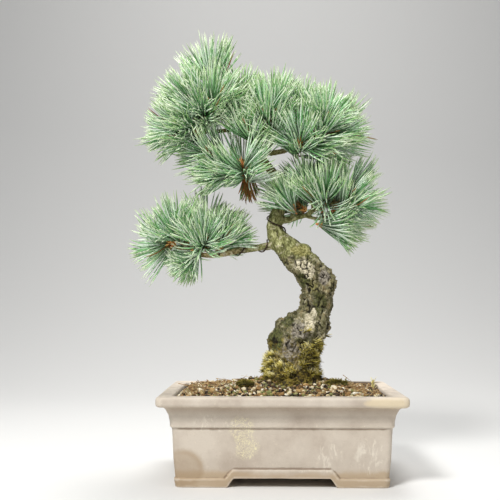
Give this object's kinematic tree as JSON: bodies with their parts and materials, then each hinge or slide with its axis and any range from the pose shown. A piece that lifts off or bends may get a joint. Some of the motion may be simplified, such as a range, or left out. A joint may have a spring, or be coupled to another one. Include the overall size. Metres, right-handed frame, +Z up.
{
  "type": "potted bonsai pine",
  "caption": "Small pine bonsai with an S-curved trunk and fans of soft needles, wired, in a shallow rectangular unglazed pot on corner feet.",
  "frame": {"origin": "middle of the plant's outline, on the table; the pot's own middle is about 20 mm to the right, at +X", "axes": "+Z up, the pot's long side along X, the front of the tree towards -Y"},
  "size_m": [0.2606, 0.16, 0.4258],
  "materials": {
    "pot_clay": "unglazed, matte, weathered",
    "screen_plastic": "matte black",
    "clip_metal": "dull",
    "soil_mix": "loose granular soil, stands in for damp soil mix",
    "grit": "mixed pumice, baked clay and lava grains",
    "bark": "rough fissured bark",
    "moss": "soft, fibrous",
    "wire_metal": "dark anodised, dull",
    "needles": "waxy needles, mostly air between them"
  },
  "bodies": {
    "root": {"drainage_screen_left": "screen_plastic", "drainage_screen_right": "screen_plastic", "moss_collar": "moss", "moss_cushion_back": "moss", "moss_cushion_left": "moss", "moss_cushion_right": "moss", "needles_apex_back": "needles", "needles_apex_back_outer": "needles", "needles_apex_front": "needles", "needles_apex_front_low": "needles", "needles_apex_inner_front": "needles", "needles_apex_inner_top": "needles", "needles_apex_middle": "needles", "needles_apex_outer_top": "needles", "needles_apex_tip": "needles", "needles_apex_top": "needles", "needles_centre_back": "needles", "needles_centre_front": "needles", "needles_centre_hanging": "needles", "needles_centre_left": "needles", "needles_centre_upper_left": "needles", "needles_crown_back": "needles", "needles_crown_back_outer": "needles", "needles_crown_front": "needles", "needles_crown_front_right": "needles", "needles_crown_inner": "needles", "needles_crown_outer": "needles", "needles_crown_right_top": "needles", "needles_crown_tip": "needles", "needles_crown_top": "needles", "needles_left_back_inner": "needles", "needles_left_back_outer": "needles", "needles_left_front": "needles", "needles_left_hanging": "needles", "needles_left_inner": "needles", "needles_left_outer": "needles", "needles_left_tip": "needles", "needles_left_top": "needles", "needles_right_back_inner": "needles", "needles_right_back_outer": "needles", "needles_right_back_top": "needles", "needles_right_front": "needles", "needles_right_hanging": "needles", "needles_right_inner": "needles", "needles_right_outer_top": "needles", "needles_right_tip": "needles", "needles_right_top": "needles", "pot": "pot_clay", "screen_clip_left": "clip_metal", "screen_clip_right": "clip_metal", "soil": "soil_mix", "top_dressing": "grit", "training_wire": "wire_metal", "tree_wood": "bark"}
  },
  "joints": []
}
